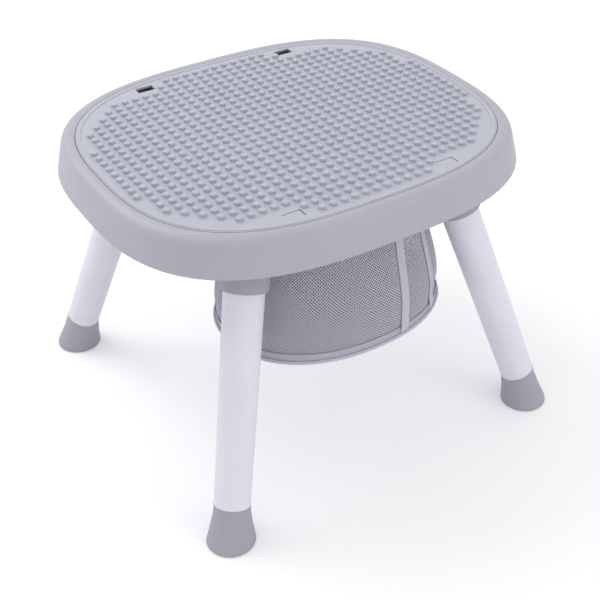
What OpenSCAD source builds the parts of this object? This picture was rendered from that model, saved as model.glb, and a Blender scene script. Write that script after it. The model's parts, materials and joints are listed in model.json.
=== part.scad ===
// Low play table with a studded lift-off lid, a storage basket and four plug-in legs.
// Origin: centre of the table on the floor. X runs along the table, Y across it, Z up.

/* [Table top] */
// Height of the play surface above the floor
table_h = 435; // [380:5:560]
// Length of the lid opening along X
lid_l = 550; // [500:2:640]
// Width of the lid opening along Y
lid_w = 462; // [430:2:560]
// Squareness of the oval outlines, where 2 is an ellipse
oval_power = 2.86; // [2.5:0.02:3.4]
// Width of the rim and apron outside the lid opening
rim_w = 27; // [24:1:40]
// Height of the rim's crown above the play surface
rim_rise = 4.6; // [1:0.2:8]
// Radius of the roll from the rim into the apron
rim_roll_r = 14; // [8:1:16]
// Depth of the apron below the play surface
apron_h = 53; // [46:1:80]
// How far the apron leans outwards from the roll down to its lower edge
apron_lean = 8; // [0:0.5:8]
// Wall thickness of the mouldings
wall = 3; // [2:0.25:4]

/* [Lid] */
// Gap between the lid and the frame all round
lid_gap = 0.8; // [0.4:0.1:1.5]
// Width of the ledge that the lid rests on
ledge_w = 10; // [7:0.5:12]
// Depth of the ledge below the play surface
ledge_depth = 9; // [7:0.5:14]
// Distance between building studs
stud_pitch = 16; // [12:1:32]
// Diameter of a building stud
stud_d = 9.4; // [6:0.1:11]
// Height of a building stud
stud_h = 4.5; // [2:0.1:6]
// Height of the chamfer round the top of a stud
stud_edge = 0.7; // [0.3:0.1:1]
// Distance of the stud field's end in from the end of the lid opening
field_inset_x = 9; // [8:1:60]
// Distance of the stud field's side in from the side of the lid opening
field_inset_y = 17; // [16:1:60]
// Squareness of the stud field
field_power = 2.4; // [2:0.05:3]
// Width of the raised bead round the lid
bead_w = 4; // [2:0.5:6]
// Height of the raised bead
bead_h = 0.8; // [0.4:0.1:1.4]
// Thickness of the stiffening ribs
rib_t = 2; // [1.5:0.1:3]

/* [Finger holes] */
// Distance of a finger hole from the middle of the table along X
hole_x = 116; // [90:1:140]
// Distance of a finger hole's middle in from the side of the lid opening
hole_inset_y = 29; // [27:0.5:40]
// Length of a finger hole
hole_l = 26; // [22:0.5:32]
// Width of a finger hole
hole_w = 15; // [12:0.5:17]
// Gap along the hinged end and the sides of a flap
flap_gap = 0.5; // [0.3:0.05:0.8]
// Gap at the free end of a flap
flap_end_gap = 1.3; // [1:0.1:2]
// How far a flap's face lies below the play surface
flap_sink = 0.8; // [0.4:0.1:1.2]
// Thickness of a flap
flap_t = 2.4; // [1.8:0.1:2.8]
// Diameter of a flap's hinge pin
flap_pin_d = 2; // [1.6:0.1:2.2]
// Running clearance on a hinge pin's radius
pin_play = 0.08; // [0.05:0.01:0.1]

/* [Legs] */
// Distance of a leg's axis in from the end of the lid opening, at the tray
leg_inset_x = 120; // [108:1:130]
// Distance of a leg's axis in from the side of the lid opening, at the tray
leg_inset_y = 78; // [72:1:88]
// How far a leg spreads along X on its way down to the floor
leg_splay_x = 107; // [80:1:130]
// How far a leg spreads along Y on its way down to the floor
leg_splay_y = 106; // [80:1:130]
// Diameter of a leg tube
tube_d = 50; // [40:1:54]
// Wall thickness of a leg tube
tube_wall = 2; // [1.5:0.25:3]
// Length of tube held inside a socket
plug_l = 58; // [50:1:70]
// Diameter of a socket at its mouth
socket_d = 63; // [60:1:68]
// Clearance between a tube and its socket or a foot's spigot, on the radius
plug_gap = 0.25; // [0.15:0.05:0.4]
// Length of a foot along the leg, from its top edge to the floor
foot_l = 57; // [50:1:80]
// Diameter of a foot at the floor
foot_d = 68; // [60:1:76]
// How many degrees more upright than its leg a foot stands
foot_upright = 7; // [0:0.5:9]
// Length of a foot's spigot inside the tube
spigot_l = 28; // [20:1:40]
// Radius of the rounded edge of a sole
sole_r = 5; // [2:0.5:8]
// Diameter of a snap button
button_d = 9; // [7:0.5:12]
// How far a snap button is pressed in
button_travel = 6.5; // [5:0.5:7]

/* [Basket] */
// Distance of the basket's middle in from the front side of the lid opening
basket_inset = 134; // [130:1:140]
// Length of the basket's floor
basket_l = 316; // [280:2:330]
// Width of the basket's floor
basket_w = 244; // [220:2:252]
// Squareness of the basket's outlines
basket_power = 2.2; // [2:0.05:2.4]
// Length of the opening in the tray that the basket hangs in
mouth_l = 244; // [200:2:248]
// Width of that opening
mouth_w = 156; // [130:2:160]
// Depth of the basket's floor below the play surface
basket_depth = 239; // [190:1:280]
// How far the net bellies out of its straight line
basket_bulge = 7; // [2:0.5:9]
// Thickness of the net
net_t = 1.2; // [0.8:0.1:2]
// Height of the solid band round the basket's floor
band_h = 12; // [8:1:40]
// Height of the hem at the basket's mouth
hem_h = 16; // [10:1:24]
// Width of a vertical tape
tape_w = 15; // [8:0.5:18]
// Diameter of the piping round the floor
piping_d = 5; // [3:0.5:7]

/* [Hidden] */
$fn = 48;

// Colours
lid_grey = [0.72, 0.73, 0.79];
frame_grey = [0.70, 0.69, 0.75];
foot_grey = [0.62, 0.62, 0.67];
tube_white = [0.87, 0.86, 0.90];
cloth_grey = [0.74, 0.74, 0.78];
net_grey = [0.55, 0.55, 0.60];
steel = [0.75, 0.76, 0.78];

// Lid opening and outline
lid_a = lid_l / 2;
lid_b = lid_w / 2;
field_a = lid_a - field_inset_x;
field_b = lid_b - field_inset_y;
hole_y = lid_b - hole_inset_y;
basket_y = lid_b - basket_inset;
oval_steps = 96;
soft_steps = 72;
overlap = 0.5;
cut = 1;

// Section of the frame, as distances out from the lid opening and heights from the play surface
roll_x = rim_w - apron_lean - rim_roll_r;
roll_z = rim_rise - rim_roll_r;
lean_angle = atan2(apron_lean, apron_h + roll_z);
edge_round = 1.5;
inner_edge = 1.2;
stand_h = 7;
tray_top = stand_h - apron_h;
tray_bottom = tray_top - wall;
roll_steps = 5;

// Lid parts
skirt_t = 2.5;
rib_h = 5;
rib_pitch = 4 * stud_pitch;
bead_inset = 3;
hole_margin = 1.2;
hole_wall = 4;
stud_facets = 24;
flap_l = hole_l - flap_gap - flap_end_gap;
flap_w = hole_w - 2 * flap_gap;
pin_r = flap_pin_d / 2;
knuckle_r = pin_r + 1.2;
knuckle_l = 4;
pin_inset = 3.2;
pin_drop = flap_sink + flap_t + knuckle_r;
lug_t = 3;
lug_fit = 0.02;
coil_gap = 0.3;
coil_t = 0.6;
coil_side = 0.5;

// Tray fastenings
tray_screw_out = 8;
tray_screw_angles = [20, 90, 160, 200, 270, 340];
tray_lap = 13;
screw_r = 1.9;
screw_hole_r = screw_r + 0.15;
screw_head_r = 3.8;
screw_head_h = 2.4;
screw_l = 12;
socket_screw_l = 7;
boss_r = 4.5;
boss_h = 10;
boss_sink = 0.4;
frame_ribs = 24;
rib_clear = 6;

// Leg axes, each a straight line from the floor up to the tray's underside
tray_z = table_h + tray_bottom;
leg_top_x = lid_a - leg_inset_x;
leg_top_y = lid_b - leg_inset_y;
foot_x = leg_top_x + leg_splay_x;
foot_y = leg_top_y + leg_splay_y;
leg_l = norm([leg_splay_x, leg_splay_y, tray_z]);
leg_tilt = atan2(norm([leg_splay_x, leg_splay_y]), tray_z);
leg_turn = atan2(-leg_splay_y, -leg_splay_x);
tube_r = tube_d / 2;
tube_in_r = tube_r - tube_wall;
socket_r = socket_d / 2;
socket_grow = 1.5;
mouth_edge = 0.8;
seam_turn = 150;
socket_cap = 2.5;
socket_roof = (tube_r + plug_gap) * tan(leg_tilt) + socket_cap;
mouth_s = leg_l - plug_l - socket_roof;
ear_r = 7;
ear_out = 38;
ear_t = 4;
ear_start = 24;
ear_angles = [80, 140, 220, 280];
foot_lip = 0.3;
foot_flare = 1.5;
foot_rings = 12;
foot_seam_turn = 90;
foot_top_r = tube_r + foot_lip;
foot_axis_tilt = leg_tilt - foot_upright;
foot_shift = foot_l * (sin(leg_tilt) - cos(leg_tilt) * tan(foot_axis_tilt));
bead_out = 0.5;
bead_rise = 1.8;
spigot_r = tube_in_r - plug_gap;
spigot_t = 3;
spigot_root = foot_l / 2;
sole_reach = 1.5;
sole_steps = 6;

// Snap button in the side of the leg that faces the middle of the table
button_s = mouth_s + 22;
button_r = button_d / 2;
button_fit = 0.25;
button_flange_r = button_r + 2;
button_flange_t = 1.5;
button_dome = 1.5;
button_dome_steps = 4;
flange_gap = 0.15;
tip_gap = 0.2;
button_seat = sqrt(pow(tube_in_r, 2) - pow(button_flange_r, 2)) - flange_gap;
button_tip = tube_r + button_travel - tip_gap;
spring_t = 0.6;
spring_gap = 0.1;
spring_w = 8;
spring_rise = 30;
spring_near = 10;
spring_far = 4;

// Basket, lofted from the tray opening down to its floor
seat_gap = 0.1;
basket_taper = 1.5;
basket_top = tray_bottom - 3 * seat_gap;
basket_rings = 10;
hem_rings = 3;
band_rings = 2;
seam_gap = 0.3;
cloth_t = 1;
floor_t = 3;
hoop_t = 2.5;
hoop_fit = 0.5;
hoop_lip = 8;
hoop_drop = 9;
hoop_edge = 1;
net_out = net_t + hoop_fit;
band_out = net_out + seam_gap + cloth_t;
piping_sides = 8;
tape_rings = 14;
tape_turns = [-69, -43, 111, 137];

// Point of an oval with half-lengths a and b, at a polar angle
function oval_point(a, b, power, turn) =
  let (r = pow(pow(abs(cos(turn)) / a, power) + pow(abs(sin(turn)) / b, power), -1 / power))
  [r * cos(turn), r * sin(turn)];

function oval_outline(a, b, power) =
  [for (i = [0:oval_steps - 1]) oval_point(a, b, power, 360 * i / oval_steps)];

// Outline of the lid opening moved out by a distance
function lid_outline(out) = oval_outline(lid_a + out, lid_b + out, oval_power);

// Two triangles for each side of a swept section, all the way round
function loop_faces(steps, count) = [
  for (i = [0:steps - 1], j = [0:count - 1])
    let (k = (i + 1) % steps, m = (j + 1) % count)
    each [[i * count + j, k * count + m, i * count + m], [i * count + j, k * count + j, k * count + m]]
];

// Closed ring swept round an oval. Each point of the section is [half-length, half-width, height].
module oval_loop(section, power, steps) {
  points = [
    for (i = [0:steps - 1]) for (s = section)
      let (q = oval_point(s[0], s[1], power, 360 * i / steps)) [q[0], q[1], s[2]]
  ];
  polyhedron(points, loop_faces(steps, len(section)));
}

module lid_slab(out, low, high) {
  translate([0, 0, table_h + low]) linear_extrude(high - low) polygon(lid_outline(out));
}

module lid_band(out, width, low, high) {
  translate([0, 0, table_h + low]) linear_extrude(high - low) difference() {
    polygon(lid_outline(out));
    polygon(lid_outline(out - width));
  }
}

// Places its children at a point outside or inside the lid opening, turned to face outwards
module at_lid_edge(out, turn) {
  q = oval_point(lid_a + out, lid_b + out, oval_power, turn);
  translate([q[0], q[1], table_h]) rotate([0, 0, turn]) children();
}

// ---- Frame ----

function roll_point(r, turn) = [roll_x + r * cos(turn), roll_z + r * sin(turn)];

function roll_arc(r, from, to) =
  [for (i = [0:roll_steps]) roll_point(r, from + (to - from) * i / roll_steps)];

// Distance out of the apron's outer face at a depth below the play surface
function apron_out(depth) = rim_w - (apron_h - depth) * tan(lean_angle);

function frame_section() = concat(
  [[0, -ledge_depth], [0, rim_rise - inner_edge], [inner_edge, rim_rise]],
  roll_arc(rim_roll_r, 90, lean_angle),
  [[rim_w, edge_round - apron_h], [rim_w - edge_round, -apron_h], [rim_w - wall, -apron_h]],
  roll_arc(rim_roll_r - wall, lean_angle, 90),
  [
    [wall, rim_rise - wall], [wall, -ledge_depth - wall],
    [wall - ledge_w, -ledge_depth - wall], [wall - ledge_w, tray_top],
    [-ledge_w, tray_top], [-ledge_w, -ledge_depth]
  ]
);

// How far the lid opening's outline moves at a polar angle when it is let out by 1 mm
function edge_stretch(turn) =
  norm(oval_point(lid_a + 1, lid_b + 1, oval_power, turn)) - norm(oval_point(lid_a, lid_b, oval_power, turn));

// Web between the downstand that meets the tray and the inside of the apron
module frame_rib(turn) {
  inner = wall / 2 - ledge_w;
  low = tray_top + rib_clear;
  high = roll_z - wall;
  shelf = -ledge_depth - wall / 2;
  line = [
    [inner, low], [apron_out(-low) - wall / 2, low], [apron_out(-high) - wall / 2, high],
    [wall / 2, high], [wall / 2, shelf], [inner, shelf]
  ];
  at_lid_edge(0, turn) translate([0, rib_t / 2, 0]) rotate([90, 0, 0])
    linear_extrude(rib_t) polygon([for (q = line) [q[0] * edge_stretch(turn), q[1]]]);
}

module tray_screw_places() {
  for (turn = tray_screw_angles) at_lid_edge(tray_screw_out, turn) children();
}

module tabletop_frame() {
  color(frame_grey) difference() {
    union() {
      oval_loop(
        [for (s = frame_section()) [lid_a + s[0], lid_b + s[0], table_h + s[1]]],
        oval_power, oval_steps
      );
      for (i = [0:frame_ribs - 1]) frame_rib(360 * (i + 0.5) / frame_ribs);
      tray_screw_places() translate([0, 0, tray_top])
        cylinder(r = boss_r, h = rim_rise - wall + boss_sink - tray_top);
    }
    tray_screw_places() translate([0, 0, tray_top - cut]) cylinder(r = screw_hole_r, h = screw_l);
  }
}

// ---- Tray ----

module mouth_slab(out, low, high) {
  translate([0, -basket_y, table_h + low])
    linear_extrude(high - low)
      polygon(oval_outline(mouth_l / 2 + out, mouth_w / 2 + out, basket_power));
}

module socket_screw_places() {
  for (left = [0, 1], front = [0, 1])
    at_leg_top(left, front) at_ears() translate([ear_out, 0, 0]) children();
}

module storage_tray() {
  color(frame_grey) difference() {
    union() {
      lid_slab(tray_lap, tray_bottom, tray_top);
      socket_screw_places() cylinder(r = boss_r, h = boss_h);
    }
    mouth_slab(0, tray_bottom - cut, tray_top + cut);
    socket_screw_places() translate([0, 0, -cut]) cylinder(r = screw_hole_r, h = socket_screw_l + 2 * cut);
    tray_screw_places() translate([0, 0, tray_bottom - cut]) cylinder(r = screw_hole_r, h = wall + 2 * cut);
  }
}

// Pan-head screw with its head below the origin and its shank above
module screw(length) {
  translate([0, 0, -screw_head_h]) cylinder(r = screw_head_r, h = screw_head_h);
  translate([0, 0, -overlap]) cylinder(r = screw_r, h = length + overlap);
}

module tray_screws() {
  color(steel) tray_screw_places() translate([0, 0, tray_bottom]) screw(screw_l);
}

module socket_screws() {
  color(steel) socket_screw_places() translate([0, 0, -ear_t]) screw(ear_t + socket_screw_l);
}

// ---- Lid ----

function in_field(x, y) =
  pow(abs(x) / field_a, field_power) + pow(abs(y) / field_b, field_power) <= 1;

function clear_of_holes(x, y) =
  abs(abs(x) - hole_x) > (hole_l + stud_d) / 2 + hole_margin
  || abs(abs(y) - hole_y) > (hole_w + stud_d) / 2 - hole_margin;

stud_rows = floor(lid_b / stud_pitch);
stud_columns = floor(lid_a / stud_pitch);
stud_places = [
  for (j = [-stud_rows:stud_rows], i = [-stud_columns:stud_columns])
    let (x = i * stud_pitch, y = j * stud_pitch)
    if (in_field(x, y) && clear_of_holes(x, y)) [x, y]
];

module stud() {
  r = stud_d / 2;
  rotate_extrude($fn = stud_facets)
    polygon([[0, -overlap], [r, -overlap], [r, stud_h - stud_edge], [r - stud_edge, stud_h], [0, stud_h]]);
}

module studs() {
  for (p = stud_places) translate([p[0], p[1], table_h]) stud();
}

module hole_places() {
  for (sx = [-1, 1], sy = [-1, 1]) translate([sx * hole_x, sy * hole_y, table_h]) children();
}

module flap_places() {
  for (sx = [-1, 1]) translate([sx * hole_x, -hole_y, table_h]) children();
}

// Axis of a flap's hinge, along Y through the origin of its children
module at_flap_pin() {
  translate([pin_inset - hole_l / 2, 0, -pin_drop]) children();
}

module along_y(r, length) {
  rotate([90, 0, 0]) cylinder(r = r, h = length, center = true);
}

module lid_ribs() {
  reach = ceil(lid_a / rib_pitch) * rib_pitch;
  translate([0, 0, table_h - wall - rib_h])
    linear_extrude(rib_h + overlap) intersection() {
      polygon(lid_outline(-lid_gap - skirt_t / 2));
      for (p = [rib_pitch / 2:rib_pitch:reach], s = [-1, 1]) {
        translate([s * p - rib_t / 2, -reach]) square([rib_t, 2 * reach]);
        translate([-reach, s * p - rib_t / 2]) square([2 * reach, rib_t]);
      }
    }
}

module lid_lugs() {
  lug_l = 2 * knuckle_r;
  lug_h = pin_drop + knuckle_r - wall;
  flap_places() for (s = [-1, 1]) at_flap_pin()
    translate([-lug_l / 2, s * (hole_w + lug_t) / 2 - lug_t / 2, -knuckle_r])
      cube([lug_l, lug_t, lug_h + overlap]);
}

module stud_lid() {
  color(lid_grey) difference() {
    union() {
      lid_slab(-lid_gap, -wall, 0);
      lid_band(-lid_gap, skirt_t, -ledge_depth, 0);
      lid_band(-bead_inset, bead_w, -overlap, bead_h);
      difference() {
        lid_ribs();
        hole_places() translate([-hole_l / 2 - hole_wall, -hole_w / 2 - hole_wall, -ledge_depth])
          cube([hole_l + 2 * hole_wall, hole_w + 2 * hole_wall, ledge_depth - wall]);
      }
      lid_lugs();
      studs();
    }
    hole_places() translate([-hole_l / 2, -hole_w / 2, -ledge_depth])
      cube([hole_l, hole_w, ledge_depth + cut]);
    flap_places() at_flap_pin() along_y(pin_r + lug_fit, hole_w + 4 * lug_t);
  }
}

// ---- Finger flaps ----

module flap() {
  left = flap_gap - hole_l / 2;
  difference() {
    union() {
      translate([left, -flap_w / 2, -flap_sink - flap_t]) cube([flap_l, flap_w, flap_t]);
      for (s = [-1, 1]) at_flap_pin() translate([0, s * (flap_w - knuckle_l) / 2, 0]) {
        along_y(knuckle_r, knuckle_l);
        translate([-knuckle_r, -knuckle_l / 2, 0]) cube([2 * knuckle_r, knuckle_l, knuckle_r + overlap]);
      }
    }
    at_flap_pin() along_y(pin_r + pin_play, hole_w);
  }
}

module flap_pin() {
  at_flap_pin() along_y(pin_r, hole_w + 2 * lug_t);
}

module flap_spring() {
  coil_r = pin_r + coil_gap;
  at_flap_pin() difference() {
    along_y(coil_r + coil_t, flap_w - 2 * (knuckle_l + coil_side));
    along_y(coil_r, flap_w);
  }
}

module flap_left() {
  color(lid_grey) translate([-hole_x, -hole_y, table_h]) flap();
}

module flap_right() {
  color(lid_grey) translate([hole_x, -hole_y, table_h]) flap();
}

module flap_pin_left() {
  color(steel) translate([-hole_x, -hole_y, table_h]) flap_pin();
}

module flap_pin_right() {
  color(steel) translate([hole_x, -hole_y, table_h]) flap_pin();
}

module flap_spring_left() {
  color(steel) translate([-hole_x, -hole_y, table_h]) flap_spring();
}

module flap_spring_right() {
  color(steel) translate([hole_x, -hole_y, table_h]) flap_spring();
}

// ---- Basket ----

// How far down the basket a height lies, from 0 at the tray to 1 at the floor
function basket_share(z) = (basket_top - z) / (basket_top + basket_depth);

// Half-lengths of the basket's wall, moved out by a distance, at a height
function basket_half(z, out) =
  let (
    u = basket_share(z),
    narrow = pow(max(0, 1 - u), basket_taper),
    bulge = basket_bulge * sin(180 * pow(u, 2))
  )
  [
    (basket_l - (basket_l - mouth_l) * narrow) / 2 + bulge + out,
    (basket_w - (basket_w - mouth_w) * narrow) / 2 + bulge + out
  ];

function wall_line(low, high, out, count) = [
  for (i = [0:count]) let (z = low + (high - low) * i / count, h = basket_half(z, out))
    [h[0], h[1], table_h + z]
];

function back_to_front(list) = [for (i = [len(list) - 1:-1:0]) list[i]];

// Thin wall of the basket between two heights
module basket_wall(low, high, out, thick, count) {
  translate([0, -basket_y, 0]) oval_loop(
    concat(wall_line(low, high, out - thick, count), back_to_front(wall_line(low, high, out, count))),
    basket_power, soft_steps
  );
}

module basket_hoop() {
  a = mouth_l / 2;
  b = mouth_w / 2;
  inner = -hoop_fit - hoop_t;
  high = tray_top + hoop_t;
  section = [
    [inner, tray_bottom - hoop_drop], [inner, high - hoop_edge], [inner + hoop_edge, high],
    [hoop_lip - hoop_edge, high], [hoop_lip, high - hoop_edge], [hoop_lip, tray_top + seat_gap],
    [-hoop_fit, tray_top + seat_gap], [-hoop_fit, tray_bottom - hoop_drop]
  ];
  color(frame_grey) translate([0, -basket_y, 0])
    oval_loop([for (s = section) [a + s[0], b + s[0], table_h + s[1]]], basket_power, soft_steps);
}

module basket_net() {
  color(net_grey)
    basket_wall(floor_t - basket_depth, basket_top, net_out, net_t, basket_rings);
}

module basket_hem() {
  color(cloth_grey) basket_wall(basket_top - hem_h, basket_top, band_out, cloth_t, hem_rings);
}

module basket_band() {
  color(cloth_grey) basket_wall(floor_t - basket_depth, band_h - basket_depth, band_out, cloth_t, band_rings);
}

module basket_floor() {
  half = basket_half(floor_t - basket_depth, net_out);
  color(cloth_grey) translate([0, -basket_y, table_h - basket_depth])
    linear_extrude(floor_t - seat_gap) polygon(oval_outline(half[0], half[1], basket_power));
}

module basket_piping() {
  r = piping_d / 2;
  middle = r - basket_depth;
  half = basket_half(middle, band_out + seat_gap + r);
  section = [
    for (i = [0:piping_sides - 1]) let (turn = 360 * i / piping_sides)
      [half[0] + r * cos(turn), half[1] + r * cos(turn), table_h + middle - r * sin(turn)]
  ];
  color(cloth_grey) translate([0, -basket_y, 0]) oval_loop(section, basket_power, soft_steps);
}

// One tape, laid down the outside of the wall from the hem to the piping
module basket_tape(turn) {
  out = band_out + seam_gap;
  high = basket_top - hem_h;
  low = piping_d + 2 * seam_gap - basket_depth;
  points = [
    for (i = [0:tape_rings])
      let (
        z = low + (high - low) * i / tape_rings,
        inner = basket_half(z, out), outer = basket_half(z, out + cloth_t),
        span = tape_w / 2 / norm(oval_point(inner[0], inner[1], basket_power, turn)) * 180 / PI
      )
      for (p = [
        oval_point(inner[0], inner[1], basket_power, turn - span),
        oval_point(inner[0], inner[1], basket_power, turn + span),
        oval_point(outer[0], outer[1], basket_power, turn + span),
        oval_point(outer[0], outer[1], basket_power, turn - span)
      ]) [p[0], p[1] - basket_y, table_h + z]
  ];
  sides = [
    for (i = [0:tape_rings - 1], j = [0:3]) let (k = 4 * i, m = (j + 1) % 4)
      each [[k + j, k + m, k + 4 + m], [k + j, k + 4 + m, k + 4 + j]]
  ];
  end = 4 * tape_rings;
  caps = [[0, 3, 2], [0, 2, 1], [end, end + 1, end + 2], [end, end + 2, end + 3]];
  color(cloth_grey) polyhedron(points, concat(sides, caps));
}

module basket_tape_front() {
  basket_tape(tape_turns[0]);
}

module basket_tape_right() {
  basket_tape(tape_turns[1]);
}

module basket_tape_rear() {
  basket_tape(tape_turns[2]);
}

module basket_tape_left() {
  basket_tape(tape_turns[3]);
}

// ---- Legs ----

// Draws its children with Z up the leg's axis from the floor and X towards the middle of the table
module at_leg(left, front) {
  mirror([left, 0, 0]) mirror([0, front, 0])
    translate([foot_x, foot_y, 0]) rotate([0, leg_tilt, leg_turn]) children();
}

module button_bore() {
  translate([0, 0, button_s]) rotate([0, 90, 0]) cylinder(r = button_r + button_fit, h = socket_d);
}

// Draws its children flat under the tray, at the top of a leg
module at_leg_top(left, front) {
  mirror([left, 0, 0]) mirror([0, front, 0]) translate([leg_top_x, leg_top_y, tray_z]) children();
}

module at_ears() {
  for (turn = ear_angles) rotate([0, 0, leg_turn + 180 + turn]) children();
}

// A collar that widens a little towards the tray, cut off level with the tray's underside
module leg_socket(left, front) {
  room = 4 * socket_d;
  run = leg_l - mouth_s + socket_r;
  color(foot_grey) difference() {
    union() {
      intersection() {
        at_leg(left, front) translate([0, 0, mouth_s]) rotate([0, 0, seam_turn]) rotate_extrude()
          polygon([
            [0, 0], [socket_r - mouth_edge, 0], [socket_r, mouth_edge],
            [socket_r + socket_grow, run], [0, run]
          ]);
        at_leg_top(left, front) translate([-room / 2, -room / 2, -room]) cube(room);
      }
      at_leg_top(left, front) translate([0, 0, -ear_t]) at_ears() {
        translate([ear_out, 0, 0]) cylinder(r = ear_r, h = ear_t);
        translate([ear_start, -ear_r, 0]) cube([ear_out - ear_start, 2 * ear_r, ear_t]);
      }
    }
    at_leg(left, front) {
      translate([0, 0, mouth_s - cut]) cylinder(r = tube_r + plug_gap, h = plug_l + cut + plug_gap);
      button_bore();
    }
    at_leg_top(left, front) translate([0, 0, -ear_t - cut]) at_ears() translate([ear_out, 0, 0])
      cylinder(r = screw_hole_r, h = ear_t + 2 * cut);
  }
}

module leg_tube(left, front) {
  color(tube_white) at_leg(left, front) difference() {
    translate([0, 0, foot_l]) cylinder(r = tube_r, h = mouth_s + plug_l - foot_l);
    translate([0, 0, foot_l - cut]) cylinder(r = tube_in_r, h = mouth_s + plug_l - foot_l + 2 * cut);
    button_bore();
  }
}

// Radius of a foot at a distance up its own axis from the floor
function foot_radius(s) =
  foot_top_r + (foot_d / 2 - foot_top_r) * pow(max(0, 1 - s / foot_l), foot_flare);

// Draws its children with Z up the foot's own axis, which meets the leg's at the end of the tube
module at_foot(left, front) {
  at_leg(left, front) translate([0, 0, foot_l]) rotate([0, -foot_upright, 0]) translate([0, 0, -foot_l])
    children();
}

// Draws its children on the floor, in the middle of a foot's sole
module at_sole(left, front) {
  mirror([left, 0, 0]) mirror([0, front, 0])
    translate([foot_x, foot_y, 0]) rotate([0, 0, leg_turn]) translate([foot_shift, 0, 0]) children();
}

// A flared foot, level at the floor with a rounded edge, and plugged into the end of the tube
module leg_foot(left, front) {
  room = 4 * foot_d;
  reach = foot_d / 2;
  edge = reach + sole_reach;
  seam = foot_l - plug_gap;
  flare = [for (i = [0:foot_rings]) [foot_radius(foot_l * i / foot_rings), foot_l * i / foot_rings]];
  rise = [[foot_top_r, foot_l + reach], [0, foot_l + reach]];
  sole = [
    for (i = [0:sole_steps]) let (turn = 90 * i / sole_steps)
      [edge - sole_r * (1 - sin(turn)), sole_r * (1 - cos(turn))]
  ];
  color(foot_grey) difference() {
    union() {
      intersection() {
        at_foot(left, front) rotate([0, 0, foot_seam_turn]) rotate_extrude()
          polygon(concat([[0, -reach], [reach, -reach]], flare, rise));
        at_sole(left, front) rotate_extrude()
          polygon(concat([[0, 0]], sole, [[edge + foot_l, sole_r + foot_l], [0, 2 * foot_l]]));
        at_leg(left, front) translate([-room / 2, -room / 2, seam - room]) cube(room);
      }
      at_leg(left, front) rotate_extrude() polygon([
        [0, seam - bead_rise - bead_out], [foot_top_r, seam - bead_rise - bead_out],
        [foot_top_r + bead_out, seam - bead_rise], [foot_top_r + bead_out, seam - bead_out],
        [foot_top_r, seam], [spigot_r, seam], [spigot_r, foot_l + spigot_l], [0, foot_l + spigot_l]
      ]);
    }
    at_leg(left, front) translate([0, 0, spigot_root]) cylinder(r = spigot_r - spigot_t, h = foot_l + spigot_l);
  }
}

module leg_button(left, front) {
  back = button_seat - button_flange_t;
  dome = [
    for (i = [0:button_dome_steps]) let (turn = 90 * i / button_dome_steps)
      [button_r - button_dome * (1 - cos(turn)), button_tip - button_dome * (1 - sin(turn))]
  ];
  color(steel) at_leg(left, front) translate([0, 0, button_s]) rotate([0, 90, 0]) rotate_extrude()
    polygon(concat(
      [[0, back], [button_flange_r, back], [button_flange_r, button_seat], [button_r, button_seat]],
      dome, [[0, button_tip]]
    ));
}

function unit(v) = v / norm(v);

// Points beside a bent line, at a distance to the left of its direction, with mitred corners
function beside(line, distance) = [
  for (i = [0:len(line) - 1])
    let (
      before = unit(line[max(i, 1)] - line[max(i, 1) - 1]),
      after = unit(line[min(i, len(line) - 2) + 1] - line[min(i, len(line) - 2)]),
      middle = unit(before + after)
    )
    line[i] + [-middle[1], middle[0]] * distance / (middle * before)
];

module strip(line, thick) {
  polygon(concat(beside(line, thick / 2), back_to_front(beside(line, -thick / 2))));
}

module leg_spring(left, front) {
  near_x = button_seat - button_flange_t - spring_t / 2 - spring_gap;
  far_x = -sqrt(pow(tube_in_r, 2) - pow(spring_w / 2, 2)) + spring_t / 2 + spring_gap;
  bends = [[near_x, -spring_near], [near_x, spring_near], [0, spring_rise], [far_x, spring_far]];
  color(steel) at_leg(left, front) translate([0, spring_w / 2, button_s]) rotate([90, 0, 0])
    linear_extrude(spring_w) strip(bends, spring_t);
}

module leg_socket_front_left() {
  leg_socket(1, 1);
}

module leg_socket_front_right() {
  leg_socket(0, 1);
}

module leg_socket_rear_left() {
  leg_socket(1, 0);
}

module leg_socket_rear_right() {
  leg_socket(0, 0);
}

module leg_tube_front_left() {
  leg_tube(1, 1);
}

module leg_tube_front_right() {
  leg_tube(0, 1);
}

module leg_tube_rear_left() {
  leg_tube(1, 0);
}

module leg_tube_rear_right() {
  leg_tube(0, 0);
}

module leg_foot_front_left() {
  leg_foot(1, 1);
}

module leg_foot_front_right() {
  leg_foot(0, 1);
}

module leg_foot_rear_left() {
  leg_foot(1, 0);
}

module leg_foot_rear_right() {
  leg_foot(0, 0);
}

module leg_button_front_left() {
  leg_button(1, 1);
}

module leg_button_front_right() {
  leg_button(0, 1);
}

module leg_button_rear_left() {
  leg_button(1, 0);
}

module leg_button_rear_right() {
  leg_button(0, 0);
}

module leg_spring_front_left() {
  leg_spring(1, 1);
}

module leg_spring_front_right() {
  leg_spring(0, 1);
}

module leg_spring_rear_left() {
  leg_spring(1, 0);
}

module leg_spring_rear_right() {
  leg_spring(0, 0);
}

tabletop_frame();
storage_tray();
tray_screws();
socket_screws();
stud_lid();
flap_left();
flap_right();
flap_pin_left();
flap_pin_right();
flap_spring_left();
flap_spring_right();
basket_hoop();
basket_hem();
basket_net();
basket_band();
basket_floor();
basket_piping();
basket_tape_front();
basket_tape_right();
basket_tape_rear();
basket_tape_left();
leg_socket_front_left();
leg_socket_front_right();
leg_socket_rear_left();
leg_socket_rear_right();
leg_tube_front_left();
leg_tube_front_right();
leg_tube_rear_left();
leg_tube_rear_right();
leg_foot_front_left();
leg_foot_front_right();
leg_foot_rear_left();
leg_foot_rear_right();
leg_button_front_left();
leg_button_front_right();
leg_button_rear_left();
leg_button_rear_right();
leg_spring_front_left();
leg_spring_front_right();
leg_spring_rear_left();
leg_spring_rear_right();
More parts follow.
